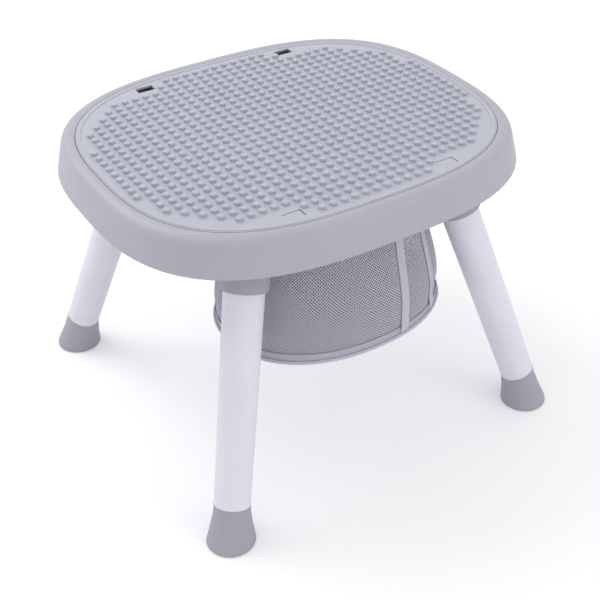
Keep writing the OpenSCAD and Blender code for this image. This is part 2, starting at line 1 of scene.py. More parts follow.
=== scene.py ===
"""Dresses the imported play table: moulded plastics, and a net basket with woven trims, on a pale floor."""

import json
import math

import bmesh
import bpy
import numpy as np
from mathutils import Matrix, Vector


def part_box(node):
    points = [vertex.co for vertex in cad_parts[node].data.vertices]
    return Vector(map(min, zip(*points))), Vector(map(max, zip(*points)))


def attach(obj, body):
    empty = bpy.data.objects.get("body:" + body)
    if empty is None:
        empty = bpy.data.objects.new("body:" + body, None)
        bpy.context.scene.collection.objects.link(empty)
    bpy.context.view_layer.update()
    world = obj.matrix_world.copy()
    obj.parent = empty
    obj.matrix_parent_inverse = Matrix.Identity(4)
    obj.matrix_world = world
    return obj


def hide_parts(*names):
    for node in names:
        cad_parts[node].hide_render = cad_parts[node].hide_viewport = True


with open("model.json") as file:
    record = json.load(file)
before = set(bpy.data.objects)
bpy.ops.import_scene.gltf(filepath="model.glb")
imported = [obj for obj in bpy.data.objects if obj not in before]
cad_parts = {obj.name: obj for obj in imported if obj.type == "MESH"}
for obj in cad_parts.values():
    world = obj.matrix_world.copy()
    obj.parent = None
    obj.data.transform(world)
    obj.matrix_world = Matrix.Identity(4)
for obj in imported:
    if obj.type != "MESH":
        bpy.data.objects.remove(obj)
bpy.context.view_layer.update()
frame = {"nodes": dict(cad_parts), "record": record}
nodes = frame["nodes"]
slots = {part["node"]: part["material_slot"] for part in frame["record"]["subparts"]}
MM = 0.001

# ---- Camera, as fitted to the studs in the photograph ----
# Its place is in metres, its turn and dip in degrees, the sensor in millimetres and the lens in picture pixels.

CAMERA_AT = (-0.6960, -1.1583, 1.1422)
CAMERA_TURN = -33.44
CAMERA_DIP = 36.73
NEAR_CLIP = 0.05
SENSOR = 36.0
FRAME_PX = 600
FOCAL_PX = 1104.94
MIDDLE_PX = 330


def add_camera():
    data = bpy.data.cameras.new("photo_camera")
    data.sensor_width = SENSOR
    data.lens = SENSOR * FOCAL_PX / FRAME_PX
    data.shift_x = (FRAME_PX / 2 - MIDDLE_PX) / FRAME_PX
    data.clip_start = NEAR_CLIP
    camera = bpy.data.objects.new("photo_camera", data)
    camera.location = CAMERA_AT
    camera.rotation_euler = (math.radians(90 - CAMERA_DIP), 0, math.radians(CAMERA_TURN))
    bpy.context.scene.collection.objects.link(camera)
    bpy.context.scene.camera = camera


add_camera()

# ---- Materials ----

RAMP_ENDS = (0.3, 0.7)
GRAIN_DEPTH = 0.06 * MM
SCUFF_DEPTH = 0.05 * MM
BRUSH_DEPTH = 0.03 * MM
YARN_DEPTH = 0.12 * MM
WEAVE_DEPTH = 0.15 * MM
SLACK_DEPTH = 1 * MM
WORN_UP_TO = 9 * MM


def srgb(red, green, blue):
    """A screen colour, 0 to 255, as the linear colour that a shader takes."""
    share = [c / 255 for c in (red, green, blue)]
    return [c / 12.92 if c < 0.04045 else ((c + 0.055) / 1.055) ** 2.4 for c in share] + [1.0]


def shaded(colour, factor):
    """A colour made darker or lighter by a factor."""
    return [min(1, c * factor) for c in colour[:3]] + [1.0]


class Finish:
    """One material: a principled shader with short calls for what feeds it."""

    def __init__(self, name, **sockets):
        self.material = bpy.data.materials.new(name)
        self.material.use_nodes = True
        self.tree = self.material.node_tree
        self.shader = self.tree.nodes["Principled BSDF"]
        self.relief = None
        for socket, value in sockets.items():
            self.feed(socket, value)

    def join(self, socket, value):
        """Feeds a socket from another node's output, or sets it to a constant."""
        if isinstance(value, bpy.types.NodeSocket):
            self.tree.links.new(value, socket)
        else:
            socket.default_value = value

    def feed(self, socket, value):
        self.join(self.shader.inputs[socket.replace("_", " ")], value)

    def add(self, kind, settings=None, **inputs):
        node = self.tree.nodes.new("ShaderNode" + kind)
        for name, value in (settings or {}).items():
            setattr(node, name, value)
        for name, value in inputs.items():
            self.join(node.inputs[name.replace("_", " ")], value)
        return node

    def combine(self, operation, first, second):
        """Two values added, multiplied or the like."""
        node = self.add("Math", {"operation": operation})
        self.join(node.inputs[0], first)
        self.join(node.inputs[1], second)
        return node.outputs["Value"]

    def place(self, coordinates, stretch):
        source = self.add("TexCoord").outputs[coordinates]
        return self.add("Mapping", Vector=source, Scale=stretch).outputs["Vector"]

    def noise(self, scale, detail=3.0, stretch=(1, 1, 1)):
        place = self.place("Object", stretch)
        return self.add("TexNoise", Vector=place, Scale=scale, Detail=detail).outputs["Fac"]

    def waves(self, direction, stretch):
        """Even bands across the mesh's own U and V."""
        settings = {"wave_type": "BANDS", "bands_direction": direction, "wave_profile": "SIN"}
        place = self.place("UV", stretch)
        return self.add("TexWave", settings, Vector=place, Scale=1.0, Distortion=0.0).outputs["Fac"]

    def between(self, factor, low, high, start=0.25, end=0.75):
        """A value from start to end, moved to low to high. The usual start and end hold most of a noise."""
        node = self.add("MapRange", Value=factor, From_Min=start, From_Max=end, To_Min=low, To_Max=high)
        return node.outputs["Result"]

    def colours(self, factor, first, second):
        node = self.add("ValToRGB", Fac=factor)
        for stop, place, colour in zip(node.color_ramp.elements, RAMP_ENDS, (first, second)):
            stop.position = place
            stop.color = colour
        return node.outputs["Color"]

    def mottle(self, colour, spread, scale):
        """A colour that drifts a little lighter and darker over the surface."""
        tones = shaded(colour, 1 - spread), shaded(colour, 1 + spread)
        self.feed("Base Color", self.colours(self.noise(scale), *tones))

    def rough_patches(self, low, high, scale, detail=2):
        """A roughness that varies from low to high in patches."""
        self.feed("Roughness", self.between(self.noise(scale, detail), low, high))

    def bump(self, height, strength, depth):
        """Adds a layer of relief over the ones before it."""
        node = self.add("Bump", Height=height, Strength=strength, Distance=depth)
        if self.relief is not None:
            self.join(node.inputs["Normal"], self.relief)
        self.relief = node.outputs["Normal"]
        self.feed("Normal", self.relief)


def moulded(name, colour, roughness, grain):
    """Injection-moulded plastic: a fine spark-eroded grain, slow colour drift and a few faint scuffs."""
    finish = Finish(name, Specular_IOR_Level=0.5)
    finish.mottle(colour, spread=0.02, scale=14)
    finish.rough_patches(roughness - 0.04, roughness + 0.04, scale=55)
    finish.bump(finish.noise(scale=2600, detail=2), grain, GRAIN_DEPTH)
    finish.bump(finish.noise(scale=70, detail=4, stretch=(0.25, 6, 1)), grain / 4, SCUFF_DEPTH)
    return finish.material


def foot_plastic(name, colour):
    """Satin moulded plastic, with floor scuffs in the band just above a sole."""
    finish = Finish(name, Specular_IOR_Level=0.45)
    height = finish.add("SeparateXYZ", Vector=finish.add("TexCoord").outputs["Object"]).outputs["Z"]
    near_floor = finish.between(height, 0.62, 0.3, start=0.0, end=WORN_UP_TO)
    blotches = finish.between(finish.noise(scale=160, detail=5), -0.1, 0.1)
    scuffs = finish.combine("ADD", near_floor, blotches)
    finish.feed("Base Color", finish.colours(scuffs, colour, shaded(colour, 0.93)))
    finish.rough_patches(0.46, 0.56, scale=60)
    finish.bump(finish.noise(scale=2200, detail=2), 0.12, GRAIN_DEPTH)
    return finish.material


def metal(name, colour, roughness, brush):
    """Steel wire or sheet with fine brush lines along one direction."""
    finish = Finish(name, Metallic=1.0)
    finish.mottle(colour, spread=0.05, scale=300)
    finish.rough_patches(roughness - 0.08, roughness + 0.08, scale=500, detail=3)
    finish.bump(finish.noise(scale=900, stretch=brush), 0.2, BRUSH_DEPTH)
    return finish.material


def knitted(name, colour):
    """Polyester strands of a knitted net, with the yarn's fine twist."""
    finish = Finish(name, Sheen_Weight=0.25, Sheen_Roughness=0.5, Specular_IOR_Level=0.3)
    finish.mottle(colour, spread=0.06, scale=260)
    finish.rough_patches(0.68, 0.82, scale=400)
    finish.bump(finish.noise(scale=1500, detail=2, stretch=(1, 1, 0.3)), 0.5, YARN_DEPTH)
    return finish.material


def woven(name, colour, thread, slant=0.0):
    """Plain weave along the mesh's own U and V, both in metres, or a twill where slant isn't 0."""
    finish = Finish(name, Sheen_Weight=0.2, Sheen_Roughness=0.4, Specular_IOR_Level=0.3)
    repeats = 1 / (thread * 2)
    warp = finish.waves("X", (repeats, slant * repeats, 1))
    weft = finish.waves("Y", (1, repeats, 1))
    cloth = finish.combine("MULTIPLY", warp, weft)
    drift = finish.combine("ADD", cloth, finish.between(finish.noise(scale=30), -0.15, 0.15))
    finish.feed("Base Color", finish.colours(drift, shaded(colour, 0.9), colour))
    finish.rough_patches(0.7, 0.85, scale=300)
    finish.bump(finish.noise(scale=45), 0.25, SLACK_DEPTH)
    finish.bump(cloth, 0.6, WEAVE_DEPTH)
    return finish.material


FRAME_GREY = srgb(178, 176, 188)
LID_GREY = srgb(185, 187, 199)
FOOT_GREY = srgb(167, 166, 178)
TUBE_WHITE = srgb(230, 227, 238)
STEEL_GREY = srgb(196, 198, 203)
SPRING_GREY = srgb(150, 152, 158)
NET_GREY = srgb(190, 189, 200)
BAND_GREY = srgb(190, 190, 201)
TAPE_GREY = srgb(206, 203, 218)
THREAD_GREY = srgb(214, 212, 224)
BAND_THREAD = 0.5 * MM
TAPE_THREAD = 0.7 * MM

materials = {
    "frame_plastic": moulded("frame_plastic", FRAME_GREY, roughness=0.42, grain=0.10),
    "lid_plastic": moulded("lid_plastic", LID_GREY, roughness=0.38, grain=0.08),
    "socket_plastic": foot_plastic("socket_plastic", FOOT_GREY),
    "tube_plastic": moulded("tube_plastic", TUBE_WHITE, roughness=0.34, grain=0.05),
    "button_plastic": moulded("button_plastic", TUBE_WHITE, roughness=0.38, grain=0.08),
    "steel": metal("steel", STEEL_GREY, roughness=0.36, brush=(1, 1, 8)),
    "spring_steel": metal("spring_steel", SPRING_GREY, roughness=0.3, brush=(8, 1, 1)),
    "net_cloth": knitted("net_cloth", NET_GREY),
    "band_cloth": woven("band_cloth", BAND_GREY, BAND_THREAD),
    "tape_cloth": woven("tape_cloth", TAPE_GREY, TAPE_THREAD, slant=0.5),
    "thread": knitted("thread", THREAD_GREY),
}


def paint(piece, slot):
    piece.data.materials.clear()
    piece.data.materials.append(materials[slot])


for node, slot in slots.items():
    paint(nodes[node], slot)

# ---- Smooth shading of faceted forms ----

SMOOTH_BELOW = 50
WELD = 0.01 * MM


def smoothing_group():
    """Joins split corners, then shades smooth across every edge that turns less than the limit."""
    group = bpy.data.node_groups.new("smooth_below_angle", "GeometryNodeTree")
    group.interface.new_socket("Geometry", in_out="INPUT", socket_type="NodeSocketGeometry")
    group.interface.new_socket("Geometry", in_out="OUTPUT", socket_type="NodeSocketGeometry")
    add, link = group.nodes.new, group.links.new
    start, end = add("NodeGroupInput"), add("NodeGroupOutput")
    weld = add("GeometryNodeMergeByDistance")
    weld.inputs["Distance"].default_value = WELD
    faces = add("GeometryNodeSetShadeSmooth")
    faces.domain = "FACE"
    edges = add("GeometryNodeSetShadeSmooth")
    edges.domain = "EDGE"
    angle = add("GeometryNodeInputMeshEdgeAngle")
    gentle = add("FunctionNodeCompare")
    gentle.data_type = "FLOAT"
    gentle.operation = "LESS_THAN"
    gentle.inputs[1].default_value = math.radians(SMOOTH_BELOW)
    link(start.outputs[0], weld.inputs["Geometry"])
    link(weld.outputs[0], faces.inputs["Geometry"])
    link(faces.outputs[0], edges.inputs["Geometry"])
    link(angle.outputs["Unsigned Angle"], gentle.inputs[0])
    link(gentle.outputs[0], edges.inputs["Shade Smooth"])
    link(edges.outputs[0], end.inputs[0])
    return group


smooth_group = smoothing_group()


def shade_smooth(piece):
    normals = piece.data.attributes.get("custom_normal")
    if normals is not None:
        piece.data.attributes.remove(normals)
    piece.modifiers.new("smooth", "NODES").node_group = smooth_group


shade_smooth(nodes["basket_hoop"])


def reshaped(name, node, move, cuts=()):
    """Stands for a node with a copy of its mesh, cut across some planes, whose points a function moves."""
    form = bmesh.new()
    form.from_mesh(nodes[node].data)
    bmesh.ops.remove_doubles(form, verts=form.verts, dist=WELD)
    for at, along in cuts:
        whole = form.verts[:] + form.edges[:] + form.faces[:]
        bmesh.ops.bisect_plane(form, geom=whole, plane_co=at, plane_no=along)
    moved = move(np.array([vertex.co for vertex in form.verts]))
    for vertex, place in zip(form.verts, moved):
        vertex.co = place
    mesh = bpy.data.meshes.new(name)
    form.to_mesh(mesh)
    form.free()
    piece = bpy.data.objects.new(name, mesh)
    bpy.context.scene.collection.objects.link(piece)
    paint(piece, slots[node])
    shade_smooth(piece)
    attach(piece, "table")
    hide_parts(node)


# ---- Frame, with the photograph's lower rim and shallower apron ----
# Heights are above the play surface, and outward distances start at the lid opening.

RIM_W = 27 * MM
APRON_H = 53 * MM
OPENING_POWER = 2.86
RIM_DROP = 3.6 * MM
ROLL_FROM = -8 * MM
EDGE_HIGH = -0.25 * MM
EDGE_OUT = 0.6 * MM
SHOULDER_HIGH = 0.45 * MM
SHOULDER_OUT = 3 * MM
APRON_BELOW = -50 * MM
APRON_LIFT = 4 * MM

frame_low, frame_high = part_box("tabletop_frame")
play_z = frame_low.z + APRON_H


def opening_reach(turn, out):
    """Distance from the middle to the lid opening's outline, let out by a distance."""
    across = np.abs(np.cos(turn)) / (frame_high.x - RIM_W + out)
    along = np.abs(np.sin(turn)) / (frame_high.y - RIM_W + out)
    return (across**OPENING_POWER + along**OPENING_POWER) ** (-1 / OPENING_POWER)


def gentle_rim(points):
    """Lowers the rim's crown, starts its inner edge level with the lid, and lifts the apron's lower edge."""
    turn = np.arctan2(points[:, 1], points[:, 0])
    reach = np.hypot(points[:, 0], points[:, 1])
    stretch = (opening_reach(turn, MM) - opening_reach(turn, 0)) / MM
    out = (reach - opening_reach(turn, 0)) / stretch
    height = points[:, 2] - play_z
    rim = (height > ROLL_FROM) & (out > -EDGE_OUT)
    lower = np.where(rim, height - RIM_DROP, height)
    lower = np.where(rim & (out < EDGE_OUT), EDGE_HIGH, lower)
    shoulder = rim & (out > EDGE_OUT) & (out < SHOULDER_OUT) & (lower > 0)
    lower = np.where(shoulder, SHOULDER_HIGH, lower)
    lower = np.where(height < APRON_BELOW, lower + APRON_LIFT, lower)
    return np.column_stack([points[:, :2], lower + play_z])


reshaped("rim_and_apron", "tabletop_frame", gentle_rim)

# ---- Legs, with the photograph's tapered tubes, rounded collars and slim feet ----
# A run is a distance up a leg's axis from the floor, and a reach is a distance from that axis.
# The axis is the rear right leg's, from the tray down to the floor, and the other legs mirror it.
# The cuts are in millimetres, for a tube below its collar's new mouth and for a collar above its old one.

LEG_TOP = np.array([155, 153, 386]) * MM
LEG_FOOT = np.array([262, 259, 0]) * MM
LEG_SIDES = {
    "front_left": (-1, -1, 1),
    "front_right": (1, -1, 1),
    "rear_left": (-1, 1, 1),
    "rear_right": (1, 1, 1),
}
FOOT_L = 57 * MM
COLLAR_MOUTH = 343.99 * MM
TUBE_R = 25 * MM
TUBE_HIGH_R = 26.8 * MM
TUBE_LOW_R = 24.6 * MM
TUBE_SKIN = 0.5 * MM
TUBE_STEP = 0.2 * MM
TUBE_CUTS = (0.35, 0.05)
COLLAR_R = 31.5 * MM
COLLAR_LIFT = 8 * MM
COLLAR_IN = 4.2 * MM
COLLAR_RISE = 8 * MM
COLLAR_CUTS = (0.3, 1.6, 3, 4.5, 6, 8)
COLLAR_WALL = 2 * MM
CUT_PLAY = 0.1 * MM
SLIM_BY = 0.8 * MM
SLIM_FROM = 15 * MM
SLIM_OVER = 35 * MM
SLIM_PAST = 1 * MM


def reshape_leg(side, mirror):
    foot, top = LEG_FOOT * mirror, LEG_TOP * mirror
    axis = (top - foot) / np.linalg.norm(top - foot)
    mouth = COLLAR_MOUTH + COLLAR_LIFT

    def split(points):
        """Each point's run, its spoke out from the axis and its reach."""
        run = (points - foot) @ axis
        spoke = points - foot - run[:, None] * axis
        return run, spoke, np.linalg.norm(spoke, axis=1)

    def tapered(points):
        """Widens the tube towards the collar, whose mouth hides the step back to the tube's own width."""
        run, spoke, reach = split(points)
        wide = TUBE_LOW_R + (TUBE_HIGH_R - TUBE_LOW_R) * (run - FOOT_L) / (mouth - FOOT_L)
        outside = (reach > TUBE_R - TUBE_SKIN) & (run < mouth - TUBE_STEP)
        return points + spoke * np.where(outside, wide / np.maximum(reach, MM) - 1, 0)[:, None]

    def rounded(points):
        """Lifts the collar's mouth and rounds its outer edge in to the tube."""
        run, spoke, reach = split(points)
        share = np.clip((run - COLLAR_MOUTH) / COLLAR_RISE, 0, 1)
        wide = np.maximum(reach, COLLAR_R) - COLLAR_IN * (1 - np.sqrt(1 - (1 - share) ** 2))
        outside = (reach > TUBE_R + COLLAR_WALL) & (share < 1)
        spread = np.where(outside, wide / np.maximum(reach, MM) - 1, 0)
        lift = np.where(run < COLLAR_MOUTH + COLLAR_RISE + CUT_PLAY, COLLAR_LIFT, 0)
        return points + spoke * spread[:, None] + axis * lift[:, None]

    def slimmed(points):
        """Draws the foot in towards its top, to end flush with the tube."""
        run, spoke, reach = split(points)
        less = SLIM_BY * np.clip((run - SLIM_FROM) / SLIM_OVER, 0, 1)
        outside = (reach > TUBE_R - TUBE_SKIN) & (run < FOOT_L + SLIM_PAST)
        return points - spoke * np.where(outside, less / np.maximum(reach, MM), 0)[:, None]

    tube_cuts = [(foot + axis * (mouth - below * MM), axis) for below in TUBE_CUTS]
    collar_cuts = [(foot + axis * (COLLAR_MOUTH + rise * MM), axis) for rise in COLLAR_CUTS]
    reshaped("tapered_tube_" + side, "leg_tube_" + side, tapered, tube_cuts)
    reshaped("rounded_collar_" + side, "leg_socket_" + side, rounded, collar_cuts)
    reshaped("slim_foot_" + side, "leg_foot_" + side, slimmed)


for side, mirror in LEG_SIDES.items():
    reshape_leg(side, np.array(mirror))

# ---- The basket's wall ----
# A turn is in degrees round the basket from +X. A share of the depth is 0 at the tray and 1 at the floor.
# A crease is given by the turn of its middle, its spread in degrees and its depth.

NET_OUT = 1.7 * MM
HOOP_LIP = 8 * MM
SEAM = 0.3 * MM
CLOTH = 1 * MM
WALL_POWER = 2.2
TAPER_POWER = 1.5
BULGE = 7 * MM
TAPE_TURNS = {"front": -70.5, "right": -43.5, "rear": 109.5, "left": 136.5}
TAPE_SWING = 17
TAPE_SWING_POWER = 1.6
TUCK_DEPTH = 2.5 * MM
TUCK_WIDTH = 7
CREASE_AT = 0.86
CREASE_WIDTH = 0.05
CREASES = [(-14, 24, 7 * MM), (200, 30, 3 * MM)]
OUTLINE_STEPS = 2880
DROP_STEPS = 60
RING_STEPS = 192

floor_low, floor_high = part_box("basket_floor")
hoop_low, hoop_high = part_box("basket_hoop")
wall_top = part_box("basket_net")[1].z
wall_bottom = floor_low.z
wall_depth = wall_top - wall_bottom
middle_y = (hoop_low.y + hoop_high.y) / 2
floor_half = np.array([floor_high.x - floor_low.x, floor_high.y - floor_low.y]) / 2 - NET_OUT
mouth_half = np.array([hoop_high.x - hoop_low.x, hoop_high.y - hoop_low.y]) / 2 - HOOP_LIP
trim_out = NET_OUT + SEAM + CLOTH


def gap_in_turn(turn, other):
    """Degrees between two turns, the short way round."""
    return np.abs((turn - other + 180) % 360 - 180)


def bell(distance, width):
    """1 at no distance, falling smoothly to nearly 0 at twice the width."""
    return np.exp(-((distance / width) ** 2))


def tape_turn(turn, share):
    """The turn of a tape's middle: it starts further round at the tray than it ends at the floor."""
    return turn + TAPE_SWING * np.maximum(0, 1 - share) ** TAPE_SWING_POWER


def hollows(turn, share):
    """How far the cloth is drawn in: along a crease above the floor at either end, and at the tapes."""
    drawn = 0
    for middle, spread, depth in CREASES:
        near = bell(gap_in_turn(turn, middle), spread)
        drawn = drawn + depth * near * bell(share - CREASE_AT, CREASE_WIDTH)
    for tape in TAPE_TURNS.values():
        tuck = TUCK_DEPTH * np.sin(np.pi * share) ** 2
        drawn = drawn + tuck * bell(gap_in_turn(turn, tape_turn(tape, share)), TUCK_WIDTH)
    return drawn


def height_at(share):
    return wall_top - wall_depth * share


def share_at(height):
    return (wall_top - height) / wall_depth


def wall_points(turn, share, out):
    """Points of the wall at some turns and shares, let out by a distance."""
    turn, share = np.broadcast_arrays(np.asarray(turn, float), np.asarray(share, float))
    narrow = np.maximum(0, 1 - share) ** TAPER_POWER
    belly = BULGE * np.sin(np.pi * share**2)
    half_x = floor_half[0] - (floor_half[0] - mouth_half[0]) * narrow + belly + out
    half_y = floor_half[1] - (floor_half[1] - mouth_half[1]) * narrow + belly + out
    along, across = np.cos(np.radians(turn)), np.sin(np.radians(turn))
    oval = (np.abs(along) / half_x) ** WALL_POWER + (np.abs(across) / half_y) ** WALL_POWER
    reach = oval ** (-1 / WALL_POWER) - hollows(turn, share)
    return np.stack([reach * along, reach * across + middle_y, height_at(share)], axis=-1)


def lengths_along(line):
    """The length along a line up to each of its points."""
    return np.concatenate([[0], np.cumsum(np.linalg.norm(np.diff(line, axis=0), axis=1))])


outline_turns = np.linspace(0, 360, OUTLINE_STEPS + 1)
outline_lengths = lengths_along(wall_points(outline_turns, 1.0, 0))
wall_length = outline_lengths[-1]
wall_drop = lengths_along(wall_points(-90, np.linspace(0, 1, DROP_STEPS), 0))[-1]


def even_turns(count):
    """Turns that divide the basket's outline into equal lengths."""
    return np.interp(np.arange(count) / count * wall_length, outline_lengths, outline_turns)


ring_turns = np.append(even_turns(RING_STEPS), 360.0)

# ---- Mesh helpers ----


def mesh_piece(name, points, faces, slot, uvs=None):
    """A smooth mesh of points and faces that rides with the table."""
    mesh = bpy.data.meshes.new(name)
    mesh.from_pydata(np.asarray(points, float).reshape(-1, 3).tolist(), [], faces)
    if uvs is not None:
        layer = mesh.uv_layers.new(name="cloth")
        corners = np.zeros(len(mesh.loops), np.int32)
        mesh.loops.foreach_get("vertex_index", corners)
        layer.data.foreach_set("uv", np.asarray(uvs, np.float32).reshape(-1, 2)[corners].ravel())
    mesh.polygons.foreach_set("use_smooth", [True] * len(mesh.polygons))
    mesh.validate()
    mesh.update()
    piece = bpy.data.objects.new(name, mesh)
    bpy.context.scene.collection.objects.link(piece)
    paint(piece, slot)
    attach(piece, "table")
    return piece


def thicken(piece, thickness):
    """Gives a sheet its thickness, inwards from its outer face."""
    solid = piece.modifiers.new("thickness", "SOLIDIFY")
    solid.thickness = thickness
    solid.offset = -1


def close_seam(piece):
    """Joins the two edges of a ring that meet, which differ only in their U or V."""
    piece.modifiers.new("seam", "WELD").merge_threshold = WELD


def grid_faces(rows, columns, closed):
    """Quads between rows of points, the last column joined to the first where the strip closes."""
    faces = []
    for row in range(rows - 1):
        for column in range(columns if closed else columns - 1):
            here = row * columns + column
            after = row * columns + (column + 1) % columns
            faces.append((here, after, after + columns, here + columns))
    return faces


# ---- Net ----

NET_PITCH = 4.7 * MM
NET_ROW = 2.1 * MM
HOLE_SHARE = 0.62
STRAND_T = 0.8 * MM


def build_net():
    """Staggered rows of holes: each hole is a cell between four crossings, with a rim of strands."""
    columns = 2 * round(wall_length / NET_PITCH)
    rows = round(wall_depth / NET_ROW)
    shares = np.linspace(0, 1, rows + 1)
    grid = wall_points(even_turns(columns)[None, :], shares[:, None], NET_OUT)
    points = grid.reshape(-1, 3).tolist()
    faces = []
    for row in range(rows + 1):
        for column in range(row % 2, columns, 2):
            left = row * columns + (column - 1) % columns
            right = row * columns + (column + 1) % columns
            above = (row - 1) * columns + column
            below = (row + 1) * columns + column
            if row == 0:
                faces.append((left, right, below))
                continue
            if row == rows:
                faces.append((left, above, right))
                continue
            rim = (left, below, right, above)
            centre = np.array(points[row * columns + column])
            first = len(points)
            for corner in rim:
                points.append((centre + HOLE_SHARE * (np.array(points[corner]) - centre)).tolist())
            for side in range(4):
                after = (side + 1) % 4
                faces.append((rim[side], rim[after], first + after, first + side))
    used = sorted({corner for face in faces for corner in face})
    place = {old: new for new, old in enumerate(used)}
    faces = [tuple(place[corner] for corner in face) for face in faces]
    piece = mesh_piece("net_wall", [points[corner] for corner in used], faces, "net_cloth")
    thicken(piece, STRAND_T)
    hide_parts("basket_net")


build_net()

# ---- Hem and band ----
# Each is drawn close on the net, by a share from 0 to 1 for each of its rows of points, top row first.

TRIM_T = 0.7 * MM
NET_CLOSE = NET_OUT + 0.1 * MM
RIPPLES = (23, 7)
HEM_H = 16 * MM
HEM_FROM = 0.002
HEM_CLOSE = [0, 0, 0, 0, 0.3, 1]
HEM_RIPPLE = 0.3 * MM
BAND_H = 16 * MM
BAND_TO = 0.985
BAND_CLOSE = [1, 0.6, 0.3, 0.1, 0, 0, 0]
BAND_RIPPLE = 0.2 * MM

hem_bottom = wall_top - HEM_H
band_top = wall_bottom + BAND_H


def cloth_ring(name, node, slot, ends, closeness, ripple):
    """A closed band of cloth round the basket's wall, between two shares, that stands for a node."""
    count = len(closeness)
    shares = np.linspace(*ends, count)
    outs = np.array(closeness) * (NET_CLOSE + TRIM_T - trim_out) + trim_out
    wave = ripple * np.prod([np.sin(np.radians(ring_turns) * waves) for waves in RIPPLES], axis=0)
    run = np.linspace(0, wall_length, RING_STEPS + 1)
    points, uvs = [], []
    for share, out in zip(shares, outs):
        line = wall_points(ring_turns, share, out)
        line[:, 2] += wave
        points.append(line)
        uvs.append(np.stack([run, np.full(RING_STEPS + 1, share * wall_depth)], -1))
    piece = mesh_piece(name, points, grid_faces(count, RING_STEPS + 1, False), slot, uvs)
    close_seam(piece)
    thicken(piece, TRIM_T)
    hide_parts(node)
    return piece


hem_ends = HEM_FROM, share_at(hem_bottom)
hem = cloth_ring("top_hem", "basket_hem", "tape_cloth", hem_ends, HEM_CLOSE, HEM_RIPPLE)
band_ends = share_at(band_top), BAND_TO
band = cloth_ring("floor_band", "basket_band", "band_cloth", band_ends, BAND_CLOSE, BAND_RIPPLE)

# ---- Floor and piping ----

FLOOR_RINGS = 14
FLOOR_SAG = 0.5 * MM
FLOOR_DISH = 0.2 * MM
FLOOR_DISH_POWER = 6
SLACK_WAVES = 5
PIPING_R = 2.5 * MM
PIPING_SIDES = 14
PUCKER = 0.03
PUCKER_STEPS = 6


def build_floor():
    """The floor's covered board: a cloth drawn flat over it, a little slack between its edges."""
    turns = even_turns(RING_STEPS)
    rim = wall_points(turns, 1.0, NET_OUT)
    middle = np.array([0, middle_y, 0])
    rings = []
    for size in np.arange(1, FLOOR_RINGS + 1) / FLOOR_RINGS:
        slack = FLOOR_SAG * np.cos(np.radians(turns) * SLACK_WAVES) * np.sin(np.pi * size)
        ring = middle + (rim - middle) * size
        ring[:, 2] = floor_high.z - FLOOR_DISH * (1 - size**FLOOR_DISH_POWER) - FLOOR_SAG + slack
        rings.append(ring)
    points = np.vstack([*rings, [0, middle_y, floor_high.z - FLOOR_SAG]])
    centre = len(points) - 1
    faces = [face[::-1] for face in grid_faces(FLOOR_RINGS, RING_STEPS, True)]
    faces += [(centre, step, (step + 1) % RING_STEPS) for step in range(RING_STEPS)]
    piece = mesh_piece("floor_cloth", points, faces, "band_cloth", points[:, :2])
    thicken(piece, floor_high.z - floor_low.z - 2 * FLOOR_SAG)
    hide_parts("basket_floor")


def build_piping():
    """A welt of tape sewn over a cord, round the floor's edge."""
    steps = 2 * RING_STEPS
    turns = even_turns(steps)
    middle = wall_points(turns, 1.0, trim_out + SEAM + PIPING_R)
    outwards = wall_points(turns, 1.0, trim_out + SEAM + 2 * PIPING_R) - middle
    outwards /= np.linalg.norm(outwards, axis=1)[:, None]
    middle[:, 2] = wall_bottom + PIPING_R
    up = np.array([0, 0, 1.0])
    pucker = 1 + PUCKER * np.sin(np.arange(steps) * 2 * np.pi / PUCKER_STEPS)
    run = np.linspace(0, wall_length, steps)
    points, uvs = [], []
    for side in 2 * np.pi * np.arange(PIPING_SIDES) / PIPING_SIDES:
        spoke = math.cos(side) * outwards + math.sin(side) * up
        points.append(middle + PIPING_R * pucker[:, None] * spoke)
        uvs.append(np.stack([run, np.full(steps, side * PIPING_R)], -1))
    points.append(points[0])
    uvs.append(np.stack([run, np.full(steps, 2 * np.pi * PIPING_R)], -1))
    faces = grid_faces(PIPING_SIDES + 1, steps, True)
    piece = mesh_piece("floor_piping", points, faces, "tape_cloth", uvs)
    close_seam(piece)
    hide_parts("basket_piping")


build_floor()
build_piping()

# ---- Tapes ----

TAPE_W = 15 * MM
TAPE_T = 0.7 * MM
TAPE_ROWS = 60
TAPE_COLUMNS = 7
TAPE_EDGE = 0.35 * MM
TAPE_EDGE_POWER = 6
TAPE_OUT = trim_out + SEAM + CLOTH
TAPE_CLOSE = NET_CLOSE + 0.2 * MM + TAPE_T
TAPE_LEAVES = 14 * MM
TAPE_TUCKED = 0.02
TAPE_END_GAP = 0.5 * MM

tape_low = wall_bottom + 2 * PIPING_R + TAPE_END_GAP


def tape_out(share):
    """How far out a tape's face lies: close on the net, and over the hem and the band at its ends."""
    height = height_at(share)
    over = np.maximum(height - hem_bottom, band_top - height) / TAPE_LEAVES + 1
    over = np.clip(over, 0, 1)
    return TAPE_CLOSE + (TAPE_OUT - TAPE_CLOSE) * over * over * (3 - 2 * over)


def turn_per_metre(turn, share):
    """Degrees of turn for a metre along the wall, from two points a degree apart."""
    pair = wall_points(np.array([turn - 0.5, turn + 0.5]), share, TAPE_OUT)
    return 1 / float(np.linalg.norm(pair[1] - pair[0]))


